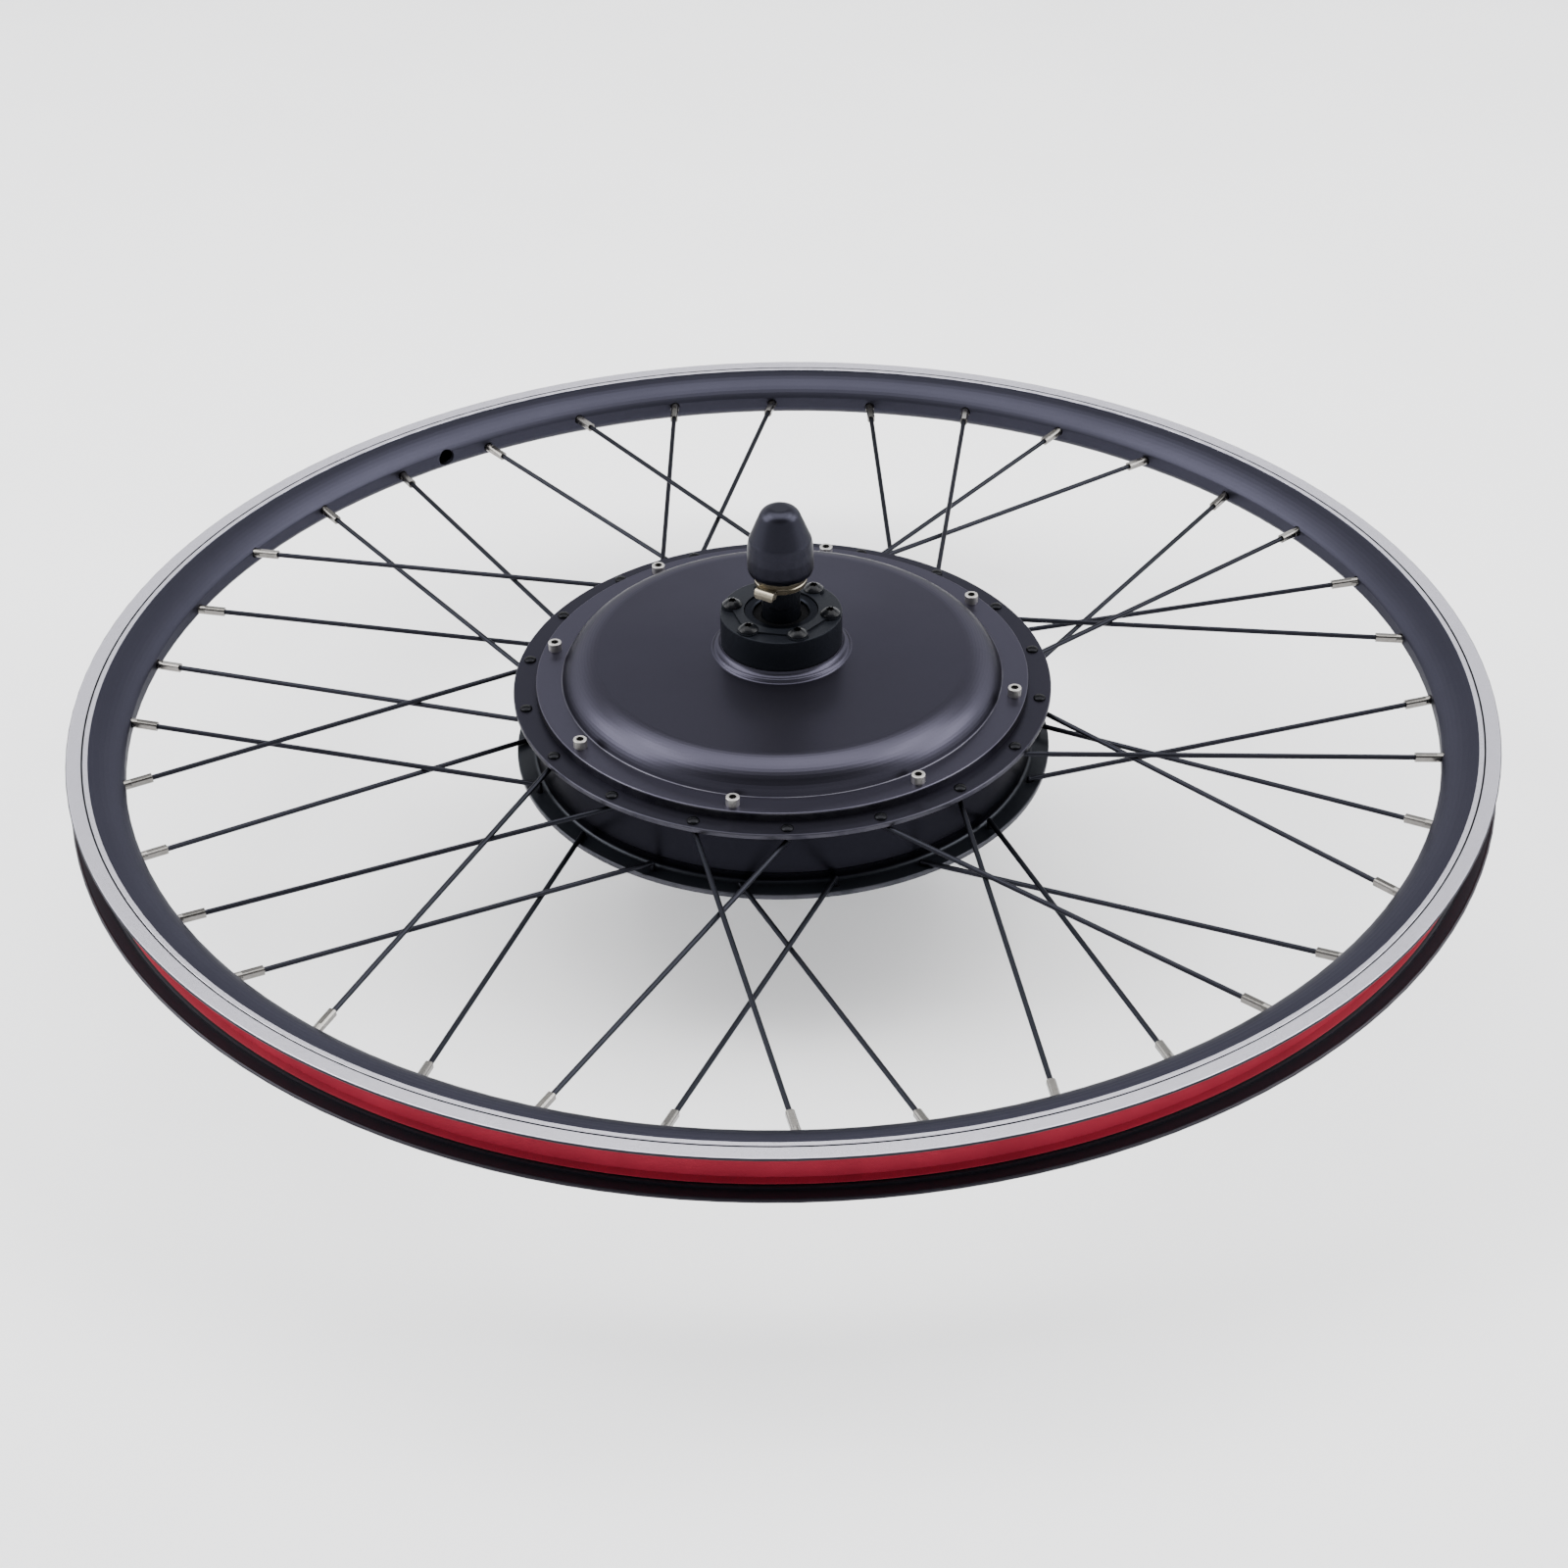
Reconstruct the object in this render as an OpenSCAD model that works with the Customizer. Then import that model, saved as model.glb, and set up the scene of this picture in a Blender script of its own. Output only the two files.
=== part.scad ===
// Bicycle hub motor wheel: direct-drive motor laced into a 28 inch rim-brake rim.
// Axle along Z, brake-disc side up, origin on the axle axis at the rim's mid plane.

/* [Rim] */
// outside diameter over the rim edges
rim_d = 634; // [600:1:660]
// rim width across the brake tracks
rim_w = 22; // [19:0.5:28]
// radial depth from the rim edge to the inner nose
rim_depth = 24.8; // [20:0.2:34]
// width of each machined brake track
track_w = 9.5; // [8:0.1:13]
// diameter of the hole for the valve
valve_d = 8.5; // [6.5:0.5:9]
// direction of the valve hole, measured from the front to the right
valve_turn = -144.6; // [-180:0.1:180]

/* [Spokes] */
// spoke pairs per flange
pairs = 9; // [9:1:9]
// spoke wire diameter
spoke_d = 2.3; // [1.8:0.1:2.6]
// diameter of the spoke hole circle in each flange
spoke_pcd = 230.4; // [226:0.2:232]
// turn of the lacing about the axle
lace_turn = 0.6; // [-10:0.1:10]
// free length of a nipple below the rim
nipple_l = 12; // [8:0.5:14]

/* [Hub] */
// diameter of the two spoke flanges
flange_d = 240; // [236:1:244]
// thickness of each flange
flange_t = 2.6; // [2:0.1:4]
// width of the hub over the flanges
flange_span = 33.8; // [30:0.2:36]
// diameter of the drum between the flanges
drum_d = 224; // [220:1:226]
// diameter of the covers
cover_d = 219.6; // [216:0.2:220]
// height of the cover rim above the flange
cover_step = 3.9; // [3:0.1:6]
// diameter at the foot of the cover dome
dome_d = 197; // [190:1:198]
// height of the brake-side dome above the cover rim
dome_h = 13.4; // [10:0.2:18]
// height of the drive-side dome above the cover rim
dome_h_drive = 9.2; // [6:0.2:14]
// turn of the cover screws about the axle
cover_turn = -11.9; // [-22:0.1:22]

/* [Disc mount] */
// outside diameter of the disc mount
mount_d = 53.9; // [50:0.1:58]
// bolt circle of the brake disc
disc_pcd = 44; // [44:0.1:44]
// turn of the disc screws about the axle
disc_turn = 18.7; // [-30:0.1:30]

/* [Axle] */
// distance between the two dropout faces
dropout_span = 135; // [130:0.5:142]
// length of the axle end outside each dropout face
axle_end_l = 30.5; // [25:0.5:36]
// diameter of the threaded axle ends
thread_d = 12; // [12:0.5:14]
// width across the flats of the axle ends
flats_w = 10; // [9:0.5:11]
// bore for the cable in the drive-side axle end
cable_bore_d = 7.2; // [5:0.2:7.4]

/* [Hidden] */
$fn = 96;

// rim section
rim_r = rim_d / 2;
nose_r = rim_r - rim_depth;
half_w = rim_w / 2;
track_r = rim_r - track_w;
wear_r = rim_r - 7.1;
wear_w = 0.9;
wear_deep = 0.4;
track_step = 0.35;
bead_r = 311;
bed_r = 306.3;
bed_half = 6.7;
bed_t = 1.6;
lip_t = 1.4;
lip_break = 0.2;
lip_edge = 0.7;
bead_step = 1.6;
tape_t = 0.9;
tape_gap = 0.35;
nose_half = 2.6;
nose_t = 2;
wall = 1.8;
cavity_half = 2;
flank_n = 10;
flank_power = 1.5;
valve_over = 3;
valve_play = 0.2;

// spokes and nipples
spoke_r = spoke_d / 2;
hole_r = spoke_pcd / 2;
hole_play = 0.25;
head_r = 2.7;
head_h = 1.4;
head_foot = 0.15;
head_n = 8;
knuckle_r = spoke_r + 0.1;
pair_step = 360 / pairs;
half_step = pair_step / 2;
layer_gap = spoke_d + 0.1;
nip_z = 1.6;
nip_r = 2.1;
nip_flat = 3.7;
nip_head_r = 2.8;
nip_head_h = 2.6;
nip_play = 0.35;
nip_bore = 0.06;
nip_neck = 2.6;
nip_seat = 0.35;
access_r = 3.2;
seat_cut = 4;

// hub shell
flange_r = flange_d / 2;
flange_z = flange_span / 2;
flange_in = flange_z - flange_t;
drum_r = drum_d / 2;
drum_in = 101;
root_fillet = 1.6;
edge_break = 0.6;
bead_z = -8.2;
bead_round = 1.2;
bead_deep = 0.8;

// covers
cover_r = cover_d / 2;
cover_z = flange_z + cover_step;
dome_r = dome_d / 2;
dome_round = 17;
dome_crown = 1.4;
dome_top = cover_z + dome_h;
drive_top = cover_z + dome_h_drive;
drive_round = 14;
drive_crown = 0.8;
foot_round = 0.7;
cover_break = 0.6;
cover_t = 3.4;
crown_turn = 88;
fine_break = 0.2;
boss_taper = 1;
spigot_r = drum_in - 0.2;
spigot_in = 95;
spigot_z = flange_z - 2;
screws_n = 8;
screw_ring = 104.6;
screw_r = 2;
screw_l = 14;
screw_grip = 3;
screw_break = 0.4;
screw_head_r = 3;
screw_head_h = 3.9;
hex_key = 3;
hex_deep = 2.2;
slip = 0.05;

// bearings, 17 x 40 x 12 deep groove
brg_in = 8.5;
brg_out = 20;
brg_w = 12;
brg_pitch = 14.25;
ball_r = 3.3;
ball_gap = 0.32;
balls_n = 8;
race_in = 12;
race_out = 16.5;
cage_in = 13;
cage_out = 15.5;
cage_low = 5.2;
cage_up = 0.8;
brake_brg_z = 30;
drive_brg_z = -23;
brg_lip = 15.8;
brg_lip_h = 2;
brg_play = 0.02;
hub_wall = 26.6;

// disc mount
mount_r = mount_d / 2;
mount_low = 38.2;
skirt_r = 30.2;
skirt_lip = 30.4;
skirt_z = 36;
lip_round = 1.5;
skirt_foot = 1.2;
skirt_hollow = 2.95;
skirt_turn = [195, 255];
lip_turn = [70, 30];
foot_turn = [200, 268];
sleeve_break = 0.6;
mount_top = 52.7;
plateau_h = 0.9;
plateau_z = mount_top + plateau_h;
plateau_hex = 23.5;
lobe_r = 4.8;
sleeve_r = 16.3;
sleeve_gap = 0.15;
sleeve_in = 12.5;
m5_r = 2.5;
disc_n = 6;
disc_head_r = 4.4;
disc_head_h = 2.7;
disc_head_rim = 0.5;
disc_screw_l = 10;
disc_hole_over = 1.5;
mount_break = 0.4;
dome_n = 8;
star_r = 1.85;
star_deep = 1.5;
star_core = 0.78;
star_at = 0.72;
star_lobe = 0.26;

// freewheel seat
free_r = 17.46;
free_shoulder = 20;
free_low = -46;
free_groove = 0.8;
free_break = 1;
relief_low = 2;
relief_up = 3;
boss_fillet = 1.6;

// motor inside
yoke_in = 96;
yoke_half = 14;
mag_n = 40;
mag_t = 2.8;
mag_w = 13.2;
mag_gap = 0.25;
core_half = 13.5;
core_in = 76;
core_back = 80.5;
tip_r = 92.1;
tip_t = 1.7;
tip_neck = 0.8;
tip_crown = 0.3;
tooth_root = 2;
teeth_n = 36;
tooth_w = 7;
tip_w = 13.6;
coil_in = 81;
coil_out = 89.5;
coil_w = 12.6;
coil_half = 17.2;
coil_play = 0.15;
spider_hub = 20;
spider_half = 12;
spider_web = 3;
spider_draft = 1.5;
spider_rim = 70;
spider_hole_r = 15;
spider_hole_at = 45;
spider_holes = 6;
board_span = 40;
board_t = 1.6;
board_n = 8;
board_edge = 0.4;

// axle
mid_r = 10;
mid_low = drive_brg_z + brg_w / 2;
mid_up = brake_brg_z - brg_w / 2;
drop_z = dropout_span / 2;
end_z = drop_z + axle_end_l;
thread_r = thread_d / 2;
end_break = 1;
neck_z = 57.5;
neck_w = 1.2;
neck_deep = 0.5;
bore_r = cable_bore_d / 2;
bore_top = -8;
slot_low = -16.6;
slot_up = -12.6;
slot_w = 5;
key_w = 5;
key_l = 18;
key_low = 7.5;
key_up = 12.4;
seal_in = 8.9;
seal_h = 4;
seal_top = 51.2;

// washers, nuts and cap
washer_r = 11.5;
washer_t = 2.4;
washer_break = 0.35;
washer_hole = 6.1;
tab_w = 9.3;
tab_l = 4.2;
tab_t = 3.1;
tab_round = 1.1;
tab_bend = 2.3;
tab_root = 3;
tab_turn = -32;
nut_af = 19;
nut_h = 10;
nut_play = 0.1;
nut_break = 0.5;
cap_r = 14.6;
cap_low = 73;
cap_cyl = 84;
cap_waist_r = 13.75;
cap_waist = 89.9;
cap_top = 105;
cap_round = 6;
cap_nose = 3.5;
cap_taper = 20;
cap_edge = 0.4;
cap_blend = 2;
cap_soft = 0.85;
cap_slope_r = 2.2;
cap_slope_h = 3.6;
cap_in = 11.5;
cap_bore = 6.8;
cap_bore_top = 99.5;

// point on a circle, angle measured from the front to the right
function at(r, a) = [r * sin(a), -r * cos(a)];
// points of an arc in the section plane
function arc(c, r, a0, a1, n) = [for (i = [0:n]) [c[0] + r * cos(a0 + (a1 - a0) * i / n),
                                                 c[1] + r * sin(a0 + (a1 - a0) * i / n)]];
function flip(p) = [for (i = [len(p) - 1:-1:0]) [p[i][0], -p[i][1]]];

// places children at radius r and direction a, local X pointing outward
module place(r, a, z = 0) {
  translate([at(r, a)[0], at(r, a)[1], z])
    rotate([0, 0, a - 90])
      children();
}

// tube along Z
module tube(ro, ri, z0, z1) {
  translate([0, 0, z0])
    linear_extrude(z1 - z0)
      difference() {
        circle(ro);
        circle(ri);
      }
}

module rod(r, z0, z1) {
  translate([0, 0, z0]) cylinder(r = r, h = z1 - z0);
}

// ---- rim ----
// smooth flank from radius r_top and height z_top down to a nose of half width z_nose
function flank(r_top, z_top, r_nose, z_nose) = [for (i = [0:flank_n])
  [r_nose + (r_top - r_nose) * (1 - sin(90 * i / flank_n)),
   z_nose + (z_top - z_nose) * pow(cos(90 * i / flank_n), flank_power)]];

// upper half of the rim section from the bed to the nose
function rim_half() = concat(
  [[bed_r, bed_half],
   [bead_r, bed_half + bead_step],
   [bead_r, half_w - lip_t],
   [rim_r - 2 * lip_edge, half_w - lip_t],
   [rim_r - lip_edge, half_w - lip_t - lip_break],
   [rim_r - lip_break, half_w - lip_t + lip_break],
   [rim_r, half_w - lip_edge],
   [rim_r - lip_break, half_w - lip_break],
   [rim_r - lip_edge, half_w],
   [wear_r + wear_w / 2, half_w],
   [wear_r, half_w - wear_deep],
   [wear_r - wear_w / 2, half_w],
   [track_r, half_w]],
  flank(track_r - track_step, half_w - track_step, nose_r, nose_half));

// upper half of the hollow chamber, from under the bed to the nose
function rim_cavity() = flank(bed_r - bed_t, half_w - track_step - wall, nose_r + nose_t, cavity_half);

module rim_section() {
  difference() {
    polygon(concat(rim_half(), flip(rim_half())));
    polygon(concat(rim_cavity(), flip(rim_cavity())));
  }
}

module rim() {
  color("slategray")
    difference() {
      rotate_extrude($fn = 180) rim_section();
      nipple_seats();
      place(nose_r - valve_over, valve_turn)
        rotate([0, 90, 0]) cylinder(r = valve_d / 2, h = rim_depth + valve_over, $fn = 48);
    }
}

module rim_tape() {
  color("firebrick")
    difference() {
      rotate_extrude($fn = 180)
        translate([bed_r + 0.02, tape_gap - bed_half])
          square([tape_t, 2 * (bed_half - tape_gap)]);
      place(nose_r, valve_turn)
        rotate([0, 90, 0]) cylinder(r = valve_d / 2 + valve_play, h = rim_depth, $fn = 48);
    }
}

// ---- spokes ----
// hole and nipple directions: side +1 brake, -1 drive; lead 1 or 0
function hole_a(side, lead, k) = lace_turn + pair_step * k + (side > 0 ? half_step : half_step * 1.5)
                                 + (lead ? 0 : half_step);
function nip_a(side, lead, k) = hole_a(side, lead, k) + (lead ? half_step : -half_step);
function elbow_z(side, lead) = side * (flange_in - knuckle_r - 0.02 - (lead ? 0 : layer_gap));
function seat_z(side, lead) = side * (nip_z - (lead ? 0 : layer_gap));
function foot(side, lead, k) = [at(hole_r, hole_a(side, lead, k))[0],
                                at(hole_r, hole_a(side, lead, k))[1],
                                elbow_z(side, lead)];
function seat(side, lead, k) = [at(nose_r, nip_a(side, lead, k))[0],
                                at(nose_r, nip_a(side, lead, k))[1],
                                seat_z(side, lead)];

// puts children on the spoke line: origin at the rim nose, +Z outward
module on_line(side, lead, k) {
  p = foot(side, lead, k);
  q = seat(side, lead, k);
  d = q - p;
  translate(q)
    rotate([0, acos(d[2] / norm(d)), atan2(d[1], d[0])])
      children();
}

module spoke(side, lead, k) {
  p = foot(side, lead, k);
  q = seat(side, lead, k);
  run = norm(q - p);
  on_line(side, lead, k)
    translate([0, 0, -run]) cylinder(r = spoke_r, h = run + 1.5, $fn = 24);
  translate(p) sphere(r = knuckle_r, $fn = 24);
  mirror([0, 0, side > 0 ? 0 : 1]) {
    translate([p[0], p[1], abs(p[2])])
      cylinder(r = spoke_r, h = flange_z - abs(p[2]) + head_h / 2, $fn = 24);
    translate([p[0], p[1], flange_z])
      rotate_extrude($fn = 32)
        polygon(concat([[0, 0]], [for (i = [0:head_n])
          [head_r * cos(90 * i / head_n), head_h * (head_foot + (1 - head_foot) * sin(90 * i / head_n))]]));
  }
}

module spokes(side, lead) {
  color("dimgray")
    for (k = [0:pairs - 1])
      spoke(side, lead, k);
}

module spokes_brake_leading() {
  spokes(1, true);
}

module spokes_brake_trailing() {
  spokes(1, false);
}

module spokes_drive_leading() {
  spokes(-1, true);
}

module spokes_drive_trailing() {
  spokes(-1, false);
}

module nipple() {
  difference() {
    union() {
      translate([0, 0, -nipple_l])
        linear_extrude(nipple_l - nip_neck + slip)
          intersection() {
            circle(nip_r, $fn = 32);
            square(nip_flat, center = true);
          }
      translate([0, 0, -nip_neck]) cylinder(r = nip_r, h = nose_t + nip_neck + nip_seat + slip, $fn = 32);
      translate([0, 0, nose_t + nip_seat]) cylinder(r = nip_head_r, h = nip_head_h, $fn = 32);
    }
    translate([0, 0, -nipple_l - 1])
      cylinder(r = spoke_r + nip_bore, h = nipple_l + nose_t + nip_head_h + 4, $fn = 24);
  }
}

module each_nipple() {
  for (side = [-1, 1])
    for (lead = [true, false])
      for (k = [0:pairs - 1])
        on_line(side, lead, k) children();
}

module nipples() {
  color("silver") each_nipple() nipple();
}

// clearance holes in the nose, seat faces for the heads and access holes in the bed
module nipple_seats() {
  each_nipple() {
    translate([0, 0, -seat_cut]) cylinder(r = nip_r + nip_play, h = seat_cut + nose_t + 1, $fn = 32);
    translate([0, 0, nose_t + nip_seat - slip]) cylinder(r = access_r, h = rim_depth, $fn = 32);
  }
}

// ---- hub shell ----
module shell_section() {
  top_flange = concat(
    [[drum_in, flange_z]],
    arc([flange_r - edge_break, flange_z - edge_break], edge_break, 90, 0, 4),
    arc([flange_r - edge_break, flange_in + edge_break], edge_break, 0, -90, 4),
    arc([drum_r + root_fillet, flange_in - root_fillet], root_fillet, 90, 180, 5));
  bead = concat(
    arc([drum_r - bead_round, bead_z], bead_round, 0, -70, 5),
    [[drum_r - bead_deep, bead_z - 2 * bead_round]]);
  low_flange = concat(
    arc([drum_r - bead_deep + root_fillet, root_fillet - flange_in], root_fillet, 180, 270, 5),
    arc([flange_r - edge_break, -flange_in - edge_break], edge_break, 90, 0, 4),
    arc([flange_r - edge_break, -flange_z + edge_break], edge_break, 0, -90, 4),
    [[drum_in, -flange_z]]);
  polygon(concat(top_flange, bead, low_flange));
}

module hub_shell() {
  color("darkslategray")
    difference() {
      rotate_extrude($fn = 180) shell_section();
      for (side = [-1, 1]) {
        for (lead = [true, false])
          for (k = [0:pairs - 1])
            translate(concat(at(hole_r, hole_a(side, lead, k)), [side > 0 ? flange_in - 1 : -flange_z - 1]))
              cylinder(r = spoke_r + hole_play, h = flange_t + 2, $fn = 24);
        for (i = [0:screws_n - 1])
          place(screw_ring, cover_turn + i * 360 / screws_n, side > 0 ? flange_z - screw_l : -flange_z - 1)
            cylinder(r = screw_r, h = screw_l + 1, $fn = 24);
      }
    }
}

module rotor_yoke() {
  color("gray") tube(drum_in - slip, yoke_in, -yoke_half, yoke_half);
}

module magnets() {
  color("silver")
    for (i = [0:mag_n - 1])
      rotate([0, 0, i * 360 / mag_n])
        translate([yoke_in - mag_t - mag_gap, -mag_w / 2, -yoke_half])
          cube([mag_t, mag_w, 2 * yoke_half]);
}

// ---- covers ----
module cover_holes(side) {
  for (i = [0:screws_n - 1])
    place(screw_ring, cover_turn + i * 360 / screws_n, side > 0 ? spigot_z - screw_grip : -cover_z - 1)
      cylinder(r = screw_r + hole_play, h = cover_z - spigot_z + screw_grip + 1, $fn = 24);
}

// outside of a cover from the crown to the spigot: top height, crown drop, shoulder radius
function cover_outside(top, drop, round) =
  let (low = top - drop - round,
       rise = cover_z + foot_round - low,
       reach = sqrt(pow(round + foot_round, 2) - rise * rise),
       turn = asin(rise / (round + foot_round)))
  concat(
    arc([dome_r - reach, low], round, crown_turn, turn, 14),
    arc([dome_r, cover_z + foot_round], foot_round, 180 + turn, 270, 5),
    arc([cover_r - cover_break, cover_z - cover_break], cover_break, 90, 0, 4),
    [[cover_r, flange_z],
     [spigot_r, flange_z],
     [spigot_r, spigot_z],
     [spigot_in, spigot_z]]);

// inside of the same cover, one wall thickness in
function cover_inside(top, drop, round) =
  let (low = top - drop - round,
       rise = cover_z + foot_round - low,
       reach = sqrt(pow(round + foot_round, 2) - rise * rise),
       centre = dome_r - reach)
  concat(
    arc([centre, low], round - cover_t, acos((spigot_in - centre) / (round - cover_t)), crown_turn, 8),
    [[hub_wall, top - cover_t]]);

module brake_side_cover() {
  seat_top = brake_brg_z + brg_w / 2;
  color("darkslategray")
    difference() {
      rotate_extrude($fn = 180)
        polygon(concat(
          [[sleeve_in, plateau_z - 2 * sleeve_break],
           [sleeve_in + sleeve_break, plateau_z - sleeve_break],
           [sleeve_r - fine_break, plateau_z - sleeve_break],
           [sleeve_r, plateau_z - sleeve_break - fine_break],
           [sleeve_r, mount_low],
           [mount_r + fine_break, mount_low]],
          arc([skirt_r, mount_low + foot_round], skirt_hollow, skirt_turn[0], skirt_turn[1], 6),
          arc([skirt_lip - lip_round, skirt_z - lip_round], lip_round, lip_turn[0], lip_turn[1], 5),
          arc([skirt_lip + skirt_foot, dome_top + skirt_foot], skirt_foot, foot_turn[0], foot_turn[1], 6),
          cover_outside(dome_top, dome_crown, dome_round),
          cover_inside(dome_top, dome_crown, dome_round),
          [[hub_wall - boss_taper, mid_up],
           [brg_out + brg_play, mid_up],
           [brg_out + brg_play, seat_top],
           [brg_lip, seat_top],
           [brg_lip - sleeve_break, seat_top + brg_lip_h],
           [sleeve_in, seat_top + brg_lip_h + boss_taper]]));
      cover_holes(1);
    }
}

module drive_side_cover() {
  seat_top = -drive_brg_z + brg_w / 2;
  color("darkslategray")
    difference() {
      mirror([0, 0, 1])
        rotate_extrude($fn = 180)
          polygon(concat(
            [[sleeve_in, -free_low],
             [free_r - free_break, -free_low],
             [free_r, -free_low - free_break],
             [free_r, drive_top + relief_up + 2 * fine_break],
             [free_r - free_groove, drive_top + relief_up],
             [free_r - free_groove, drive_top + relief_low],
             [free_shoulder, drive_top + relief_low]],
            arc([free_shoulder + boss_fillet + 2 * fine_break, drive_top + boss_fillet], boss_fillet, 180, 270, 6),
            cover_outside(drive_top, drive_crown, drive_round),
            cover_inside(drive_top, drive_crown, drive_round),
            [[hub_wall - boss_taper, -mid_low],
             [brg_out + brg_play, -mid_low],
             [brg_out + brg_play, seat_top],
             [brg_lip, seat_top],
             [sleeve_in, seat_top + brg_lip_h + boss_taper]]));
      cover_holes(-1);
    }
}

module cap_screw() {
  difference() {
    union() {
      rod(screw_r - slip, -screw_l - screw_grip, 0.1);
      rotate_extrude($fn = 36)
        polygon(concat(
          [[0, 0], [screw_head_r, 0]],
          arc([screw_head_r - screw_break, screw_head_h - screw_break], screw_break, 0, 90, 3),
          [[0, screw_head_h]]));
    }
    translate([0, 0, screw_head_h - hex_deep])
      cylinder(r = hex_key / 2 / cos(30), h = hex_deep + 1, $fn = 6);
  }
}

module cover_screws() {
  color("silver")
    for (side = [0, 1])
      mirror([0, 0, side])
        for (i = [0:screws_n - 1])
          place(screw_ring, cover_turn + i * 360 / screws_n, cover_z)
            cap_screw($fn = 24);
}

// ---- disc mount ----
module disc_mount() {
  color("black")
    difference() {
      union() {
        rotate_extrude()
          polygon([[sleeve_r + sleeve_gap, mount_low],
                   [mount_r - mount_break, mount_low],
                   [mount_r, mount_low + mount_break],
                   [mount_r, mount_top - mount_break],
                   [mount_r - 0.3 * mount_break, mount_top - 0.3 * mount_break],
                   [mount_r - mount_break, mount_top],
                   [sleeve_r + sleeve_gap, mount_top]]);
        translate([0, 0, mount_top - 1])
          linear_extrude(plateau_h + 1)
            difference() {
              union() {
                rotate(disc_turn - 90) circle(plateau_hex, $fn = 6);
                for (i = [0:disc_n - 1])
                  translate(at(disc_pcd / 2, disc_turn + i * 60)) circle(lobe_r, $fn = 36);
              }
              circle(sleeve_r + sleeve_gap);
            }
      }
      for (i = [0:disc_n - 1])
        place(disc_pcd / 2, disc_turn + i * 60, plateau_z - disc_screw_l - disc_hole_over)
          cylinder(r = m5_r, h = disc_screw_l + 2 * disc_hole_over, $fn = 32);
    }
}

module star(r, n) {
  circle(r * star_core, $fn = 24);
  for (i = [0:n - 1])
    rotate(i * 360 / n)
      translate([r * star_at, 0]) circle(r * star_lobe, $fn = 16);
}

module disc_screw() {
  dome = (pow(disc_head_r, 2) + pow(disc_head_h - disc_head_rim, 2)) / 2 / (disc_head_h - disc_head_rim);
  difference() {
    union() {
      rod(m5_r - slip, -disc_screw_l, 0.1);
      rotate_extrude($fn = 40)
        polygon(concat(
          [[0, 0], [disc_head_r - 0.1, 0], [disc_head_r, 0.1]],
          [for (i = [0:dome_n - 1])
            let (turn = asin(disc_head_r / dome) * (1 - i / dome_n))
            [dome * sin(turn), disc_head_h - dome + dome * cos(turn)]],
          [[0, disc_head_h]]));
    }
    translate([0, 0, disc_head_h - star_deep])
      linear_extrude(star_deep + 1) star(star_r, 6);
  }
}

module disc_screws() {
  color("black")
    for (i = [0:disc_n - 1])
      place(disc_pcd / 2, disc_turn + i * 60, plateau_z)
        disc_screw($fn = 24);
}

// ---- bearings and seals ----
module at_bearings() {
  translate([0, 0, brake_brg_z]) children();
  translate([0, 0, drive_brg_z]) mirror([0, 0, 1]) children();
}

module bearing_inner_races() {
  color("lightsteelblue")
    at_bearings()
      rotate_extrude()
        difference() {
          translate([brg_in + 0.02, -brg_w / 2]) square([race_in - brg_in - 0.02, brg_w]);
          translate([brg_pitch, 0]) circle(ball_r + ball_gap, $fn = 48);
        }
}

module bearing_outer_races() {
  color("lightsteelblue")
    at_bearings()
      rotate_extrude()
        difference() {
          translate([race_out, -brg_w / 2]) square([brg_out - race_out, brg_w]);
          translate([brg_pitch, 0]) circle(ball_r + ball_gap, $fn = 48);
        }
}

module bearing_balls() {
  color("silver")
    at_bearings()
      for (i = [0:balls_n - 1])
        place(brg_pitch, i * 360 / balls_n) sphere(r = ball_r, $fn = 32);
}

module bearing_cages() {
  color("goldenrod")
    at_bearings()
      difference() {
        tube(cage_out, cage_in, -cage_low, cage_up);
        for (i = [0:balls_n - 1])
          place(brg_pitch, i * 360 / balls_n) sphere(r = ball_r + 0.02, $fn = 32);
      }
}

module axle_seals() {
  color("black") {
    tube(sleeve_in - slip, seal_in, seal_top - seal_h, seal_top);
    tube(sleeve_in - slip, seal_in, free_low + 1, free_low + 1 + seal_h);
  }
}

// ---- stator ----
module stator_carrier() {
  color("silver")
    difference() {
      rotate_extrude()
        polygon([[mid_r + 0.02, -spider_half], [spider_hub, -spider_half],
                 [spider_hub + spider_draft, -spider_web], [spider_rim, -spider_web],
                 [spider_rim, -spider_half], [core_in - slip, -spider_half],
                 [core_in - slip, spider_half], [spider_rim, spider_half],
                 [spider_rim, spider_web], [spider_hub + spider_draft, spider_web],
                 [spider_hub, spider_half], [mid_r + 0.02, spider_half]]);
      for (i = [0:spider_holes - 1])
        place(spider_hole_at, i * 360 / spider_holes, -spider_web - 1)
          cylinder(r = spider_hole_r, h = 2 * spider_web + 2, $fn = 48);
      translate([-key_w / 2 - slip, 0, -spider_half - 1])
        cube([key_w + 2 * slip, key_up + 0.1, 2 * spider_half + 2]);
    }
}

module stator_core() {
  color("gray")
    translate([0, 0, -core_half])
      linear_extrude(2 * core_half)
        difference() {
          union() {
            circle(core_back);
            for (i = [0:teeth_n - 1])
              rotate(i * 360 / teeth_n) {
                translate([core_back - tooth_root, -tooth_w / 2])
                  square([tip_r - tip_t / 2 - core_back + tooth_root, tooth_w]);
                polygon([[tip_r - tip_t - tip_neck, -tooth_w / 2], [tip_r - tip_t, -tip_w / 2],
                         [tip_r - tip_crown, -tip_w / 2], [tip_r, 0], [tip_r - tip_crown, tip_w / 2],
                         [tip_r - tip_t, tip_w / 2], [tip_r - tip_t - tip_neck, tooth_w / 2]]);
              }
          }
          circle(core_in);
        }
}

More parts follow.
